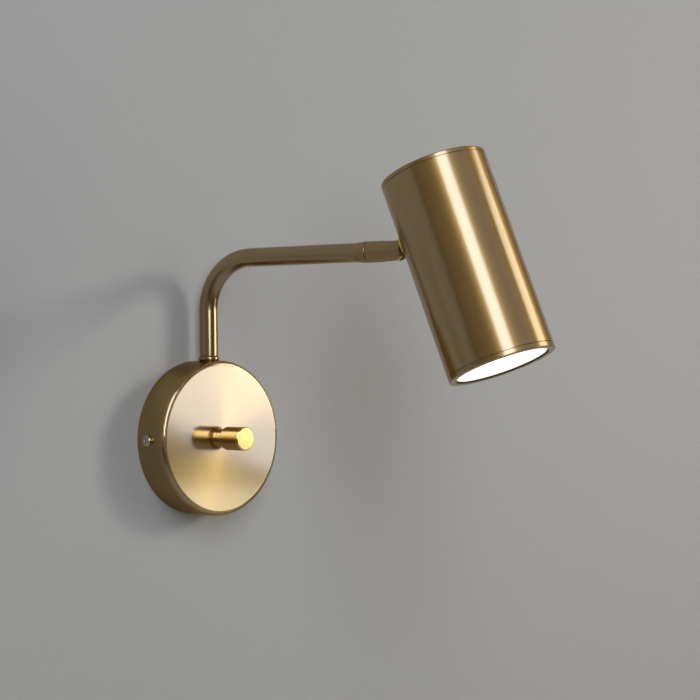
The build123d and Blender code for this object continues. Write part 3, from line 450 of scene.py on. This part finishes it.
# %% Knob and neck
knob = turned("turned_knob", wall_centre, out, [
    (0, 47, 0), (6.9, 47, 0.12), (7.6, 46.4, 0.15),  # front and its bevel
    (7.6, 45.6, 0.12), (7.25, 45.6, 0), (7.25, 45.1, 0), (7.6, 45.1, 0.12),  # groove
    (7.6, 30.4, 0.5), (6.3, 29.1, 0.4),  # side and foot
    (3.03, 29.1, 0.2), (3.03, 42.1, 0), (0, 42.1, 0)])  # bore
grub_out, grub_radius, grub_depth = 34.6 * MM, 1.55 * MM, 8 * MM
cut(knob, grub_radius, grub_depth, out * grub_out - up * grub_depth / 2, up)
stands_for(knob, "knob", polished_brass)
neck = turned("turned_neck", wall_centre, out, [
    (4.55, 25, 0), (5.8, 25, 0.2), (5.8, 29, 0.6), (4.55, 29, 0.2)])
stands_for(neck, "switch_nut", polished_brass)

# %% [markdown]
# The bead under the arm is a round ring that sits on the cup. Its foot follows the cup's curve, so the
# cup's own round is taken out of it after the spin.

# %% Bead
bead = turned("turned_bead", Vector((swivel.x, swivel.y, 0)), up, [
    (5.03, 49.5, 0), (6.75, 49.5, 1.65), (6.75, 53.2, 1.65), (5.03, 53.2, 0)])
cup_radius, seat_gap = 50 * MM, 0.03 * MM
cut(bead, cup_radius + seat_gap, 2 * cup_depth, wall_centre, out)
stands_for(bead, "arm_collar", bead_brass)

# %% [markdown]
# The head is closed by two turned covers, a lid at the top and a ring round the light. Each has a plug
# that slides into the tube, and a fine open seam shows where they meet it. The opal disc lies on a ledge
# inside the ring, a little deeper than the ring's face, so a narrow bore frames the light, darkened by
# painted shade. These pieces are wide, so they are spun in more steps.

# %% Cap, ring and opal disc
wide_steps = 192
stud_below_top = 35.2 * MM
head_top = head_centre + head_up * stud_below_top
cap = turned("turned_cap", head_top, head_up, [
    (0, 0, 0), (33, 0, 0.7), (33, -2.5, 0.15),  # lid
    (31.47, -2.5, 0), (31.47, -8.5, 0.2), (30.27, -8.5, 0.2), (30.27, -2.5, 0),  # plug
    (0, -2.5, 0)], steps=wide_steps)
stands_for(cap, "top_cap", head_brass)
light_ring = turned("turned_light_ring", head_top, head_up, [
    (28.75, -127.3, 0.3), (33, -127.3, 0.5), (33, -124.3, 0.15),  # face
    (31.47, -124.3, 0), (31.47, -118.3, 0.2), (30.27, -118.3, 0.2),  # plug
    (30.27, -125.1, 0), (28.75, -125.1, 0)], steps=wide_steps)  # ledge
stands_for(light_ring, "bezel", ring_brass)
disc = turned("opal_disc", head_top, head_up, [
    (0, -123.1, 0), (30.17, -123.1, 0.2), (30.17, -125.1, 0.2),  # back and flange
    (28.65, -125.1, 0), (28.65, -126.2, 0.3), (0, -126.2, 0)], steps=wide_steps)  # lit face
stands_for(disc, "diffuser", opal)

# %% [markdown]
# The fork, its tongue and the two side screws have flats, slots and holes, which no lathe gives. Their
# solids are right, so a copy of each is softened instead: its loose triangles are merged, flat ones
# become whole faces again, and a bevel modifier rounds the sharp edges as deburring does.

# %% Softened fork, tongue and screws
flat_angle, edge_angle, edge_segments = radians(0.2), radians(35), 3


def merged(node, name):
    """A copy of a solid with its triangles merged and its flat faces whole."""
    piece = bpy.data.objects.new(name, frame["nodes"][node].data.copy())
    bpy.context.collection.objects.link(piece)
    bpy.ops.object.select_all(action="DESELECT")
    piece.select_set(True)
    bpy.context.view_layer.objects.active = piece
    bpy.ops.mesh.customdata_custom_splitnormals_clear()
    bpy.ops.object.mode_set(mode="EDIT")
    bpy.ops.mesh.select_all(action="SELECT")
    bpy.ops.mesh.remove_doubles(threshold=weld)
    bpy.ops.mesh.dissolve_limited(angle_limit=flat_angle)
    bpy.ops.object.mode_set(mode="OBJECT")
    return piece


def softened(piece, edge):
    """Rounds the sharp edges of a piece."""
    bpy.ops.object.modifier_add(type="BEVEL")
    bevel = piece.modifiers[-1]
    bevel.width, bevel.segments = edge, edge_segments
    bevel.limit_method, bevel.angle_limit = "ANGLE", edge_angle
    bpy.ops.object.modifier_apply(modifier=bevel.name)
    return piece


fork_edge, tongue_edge, screw_edge = 0.35 * MM, 0.3 * MM, 0.25 * MM
stands_for(softened(merged("fork", "softened_fork"), fork_edge), "fork", knuckle_brass)
stands_for(softened(merged("tongue", "softened_tongue"), tongue_edge), "tongue", polished_brass)
screws = merged("canopy_screws", "softened_side_screws")
stands_for(softened(screws, screw_edge), "canopy_screws", plates["nickel_plate"])

# %% [markdown]
# The ring at the tube's end is such a copy too, but it isn't bevelled. The turner ran it out to the tube
# in a long taper, so its rear shoulder is moved forward along the arm and its rear lip is drawn in to the
# tube.

# %% Tapered end ring
end_ring = merged("arm_end_ring", "tapered_end_ring")
ring_rear, ring_radius, tube_radius, taper = 114.0 * MM, 6.6 * MM, 6.0 * MM, 6.0 * MM
chamfer, lip_gap, bore_margin, play = 0.25 * MM, 0.06 * MM, 0.15 * MM, 0.1 * MM
arm_middle = pivot - arm_dir * arm_dir.dot(pivot - swivel)  # where the arm's line meets the swivel's axis
bpy.ops.object.mode_set(mode="EDIT")
bpy.ops.mesh.select_mode(type="VERT")
shoulder, lip = [], []
for point in bmesh.from_edit_mesh(end_ring.data).verts:
    along = arm_dir.dot(point.co - arm_middle)
    radius = (point.co - arm_middle - arm_dir * along).length
    if along < ring_rear + MM and radius > ring_radius - play:
        shoulder.append(point.co.copy())
    elif along < ring_rear + play and radius > tube_radius + bore_margin:
        lip.append(point.co.copy())
select_points(end_ring, shoulder)
bpy.ops.transform.translate(value=arm_dir * taper)
select_points(end_ring, lip)
shrink = (tube_radius + lip_gap) / (ring_radius - chamfer)
bpy.ops.transform.resize(value=(shrink, shrink, shrink), center_override=arm_middle + arm_dir * ring_rear)
bpy.ops.object.mode_set(mode="OBJECT")
print("end ring: shoulder of", len(shoulder), "points, lip of", len(lip))
stands_for(end_ring, "arm_end_ring", knuckle_brass)

# %% [markdown]
# Every other solid keeps its shape and gets its finish. The record already says which slot a piece
# belongs to, so most pieces take the finish of their slot. The three large satin pieces are listed by
# name, because each was brushed round an axis of its own.

# %% Give each solid its finish
of_slot = {
    "polished_brass": polished_brass,
    "nickel_steel": plates["nickel_plate"],
    "zinc_steel": plates["zinc_plate"],
    "opal_acrylic": opal,
    "satin_brass": knuckle_brass,
    **moulded,
}
of_piece = {"canopy": cup_brass, "arm_tube": arm_brass, "head_tube": head_brass}
for node, solid in frame["nodes"].items():
    for material_slot in solid.material_slots:
        material_slot.material = of_piece.get(node) or of_slot[slots[node]]
print("finished solids:", len(frame["nodes"]))

# %% [markdown]
# The stage is a plain grey wall, as in the picture, and a pale floor well below. The wall is painted with a
# roller, which leaves a fine grain. It is shown only from its front, so that the lamp can also be looked
# at from behind. The softboxes light it only near the lamp. Farther off it glows a little, for the camera
# alone, so that no view ends in the dark.

# %% Wall paint
wall_finish, tree, shader = new_finish("grey_wall_paint", Roughness=0.9, Emission_Color=linear("F6F2EA"))
roller_grain = 3 * MM
lit_reach, far_reach, far_glow = 0.7, 3, 0.34  # metres from the cup, and the glow's strength out there
place = add(tree, "TexCoord").outputs["Object"]
roller = add(tree, "TexNoise", {"Vector": place, "Scale": 1 / roller_grain, "Detail": 3}).outputs["Fac"]
tone = add(tree, "Mix", {"Factor": roller, 6: linear("C1BEB4"), 7: linear("BDBAB0")}, data_type="RGBA")
tree.links.new(tone.outputs[2], shader["Base Color"])

from_cup = add(tree, "VectorMath", {0: place}, operation="LENGTH").outputs["Value"]
far_wall = add(tree, "MapRange", {"Value": from_cup, "From Min": lit_reach, "From Max": far_reach,
                                  "To Min": 0, "To Max": far_glow}).outputs[0]
for_camera = add(tree, "LightPath").outputs["Is Camera Ray"]
far_light = add(tree, "Math", {0: far_wall, 1: for_camera}, operation="MULTIPLY").outputs[0]
tree.links.new(far_light, shader["Emission Strength"])

behind = add(tree, "NewGeometry").outputs["Backfacing"]
clear = add(tree, "BsdfTransparent").outputs[0]
paint = tree.nodes["Principled BSDF"].outputs[0]
seen = add(tree, "MixShader", {0: behind, 1: paint, 2: clear}).outputs[0]
tree.links.new(seen, tree.nodes["Material Output"].inputs["Surface"])
print("wall paint: lit to", lit_reach, "m from the cup, glowing by itself from", far_reach, "m")

# %% [markdown]
# The floor is pale and a little dusty. Its Light Path node lets the camera see it brighter than the lamps
# make it, and lets metal mirror a trace of that, while it throws no more light on the lamp.

# %% Floor paint
floor_finish, tree, shader = new_finish("pale_floor", Roughness=0.8, Emission_Color=linear("D2D0CC"))
dust_patch = 250 * MM
shown_floor, mirrored_floor = 0.6, 0.1
place = add(tree, "TexCoord").outputs["Object"]
dust = add(tree, "TexNoise", {"Vector": place, "Scale": 1 / dust_patch, "Detail": 3}).outputs["Fac"]
tone = add(tree, "Mix", {"Factor": dust, 6: linear("D2D0CC"), 7: linear("CAC8C4")}, data_type="RGBA")
tree.links.new(tone.outputs[2], shader["Base Color"])

rays = add(tree, "LightPath").outputs
mirrored = add(tree, "Math", {0: rays["Is Glossy Ray"], 1: mirrored_floor}, operation="MULTIPLY").outputs[0]
pale = add(tree, "Math", {0: rays["Is Camera Ray"], 1: shown_floor, 2: mirrored},
           operation="MULTIPLY_ADD").outputs[0]
tree.links.new(pale, shader["Emission Strength"])
print("floor: shown at", shown_floor, "and mirrored at", mirrored_floor)

# %% [markdown]
# The wall starts as a circle, which becomes the round hole behind the cup where the cable would come out.
# That hole also lets light into the cup for the views from behind. Extruding the circle and scaling the
# new edge up makes the wall round it. The floor is a plain plane.

# %% Wall and floor
stage_size, floor_level, wall_gap, wall_hole = 12, -1.1, 0.1 * MM, 47 * MM
wall_sides = 64
bpy.ops.object.select_all(action="DESELECT")
bpy.ops.mesh.primitive_circle_add(vertices=wall_sides, radius=wall_hole, location=(0, wall_gap, 0),
                                  rotation=(pi / 2, 0, 0))
wall = bpy.context.object
wall.name = "grey_wall"
bpy.ops.object.mode_set(mode="EDIT")
bpy.ops.mesh.extrude_region_move()
spread = stage_size / 2 / wall_hole
bpy.ops.transform.resize(value=(spread, spread, spread))
bpy.ops.mesh.select_all(action="SELECT")
bpy.ops.mesh.normals_make_consistent(inside=False)
bpy.ops.object.mode_set(mode="OBJECT")
wall.data.materials.append(wall_finish)
bpy.ops.mesh.primitive_plane_add(size=stage_size, location=(0, 0, floor_level))
floor = bpy.context.object
floor.name = "pale_floor"
floor.data.materials.append(floor_finish)
wall_normal = wall.matrix_world.to_3x3() @ wall.data.polygons[0].normal
print("wall normal:", [round(side, 2) for side in wall_normal])

# %% [markdown]
# Metal shows what stands around it, so the lights are placed by the streaks in the picture. Mirroring the
# line of sight at a streak on the head or at a fan on the cup gives the direction that its light comes
# from. A tall softbox stands in front on the left, a weak one hangs overhead, and one stands on the
# right. A small tilted one level with the cup and a warm bounce from below make the fans on the cup's
# face. The one on the right is only mirrored. A smaller lamp farther off, which no metal mirrors, lights
# the wall in its place, because it draws the crisp shadows of the picture. The last softbox stands behind
# the wall for the views from behind.

# %% Softboxes
def softbox(name, target, heading, height, distance, size, level, colour="E0EAFF", roll=0):
    """A softbox that faces its target. Headings are degrees from straight in front, positive to the right."""
    aim = Vector((sin(radians(heading)) * cos(radians(height)),
                  -cos(radians(heading)) * cos(radians(height)), sin(radians(height))))
    bpy.ops.object.light_add(type="AREA", location=target + aim * distance,
                             rotation=aim.to_track_quat("Z", "Y").to_euler())
    lamp = bpy.context.object
    lamp.name = name
    lamp.rotation_euler.rotate_axis("Z", radians(roll))
    lamp.data.shape = "RECTANGLE"
    lamp.data.size, lamp.data.size_y = size
    lamp.data.energy = level * size[0] * size[1] * pi  # so that the level is what a mirror shows
    lamp.data.color = linear(colour)[:3]
    lamp.visible_camera = False
    return lamp


cup_face = out * cup_depth
softbox("front_softbox", head_centre, heading=-33, height=22, distance=1.7, size=(0.68, 1.5), level=5.15)
softbox("overhead_softbox", head_centre, heading=10, height=33, distance=1.7, size=(1.3, 0.7), level=0.3)
side_softbox = softbox("side_softbox", head_centre, heading=58, height=14, distance=1.7, size=(0.68, 1.1),
                       level=3.1, colour="FDF7E6")
side_softbox.visible_diffuse = False
wall_wash = softbox("wall_wash", wall_centre, heading=52, height=17, distance=2.4, size=(0.45, 0.45),
                    level=27, colour="FAF8FC")
wall_wash.visible_glossy = False
softbox("right_softbox", cup_face, heading=43, height=4.3, distance=1.0, size=(0.3, 0.26), level=2.45,
        colour="F4F5F8", roll=-25)
softbox("floor_bounce", cup_face, heading=43, height=-11, distance=1.0, size=(0.2, 0.18), level=1.8,
        colour="FAF4DA")
softbox("rear_softbox", wall_centre, heading=180, height=20, distance=1.2, size=(0.9, 0.9), level=4)

# %% [markdown]
# The rest of the room is dim and warm. It gives little light, but metal mirrors it brighter and warmer,
# because brass needs something to show between the softboxes, and the camera sees it pale. A Light Path
# node tells these three apart.

# %% Room light
world = bpy.data.worlds.new("dim_room")
bpy.context.scene.world = world
world.use_nodes = True
tree = world.node_tree
background = tree.nodes["Background"]
rays = add(tree, "LightPath").outputs
mirrored = add(tree, "Math", {0: rays["Is Glossy Ray"], 1: rays["Is Transmission Ray"]},
               operation="MAXIMUM").outputs[0]
light_level, mirrored_level, shown_level = 0.065, 0.26, 0.62
level = add(tree, "MapRange", {"Value": mirrored, "To Min": light_level, "To Max": mirrored_level}).outputs[0]
shown = add(tree, "Math", {0: rays["Is Camera Ray"], 1: shown_level}, operation="MULTIPLY").outputs[0]
strength = add(tree, "Math", {0: level, 1: shown}, operation="MAXIMUM").outputs[0]
tree.links.new(strength, background.inputs["Strength"])
tint = add(tree, "Mix", {"Factor": mirrored, 6: linear("FBF4EA"), 7: linear("FBE8C8")}, data_type="RGBA")
tree.links.new(tint.outputs[2], background.inputs["Color"])
bpy.context.scene.view_settings.view_transform = "Standard"
print("room: lights at", light_level, "is mirrored at", mirrored_level, "and shown at", shown_level)
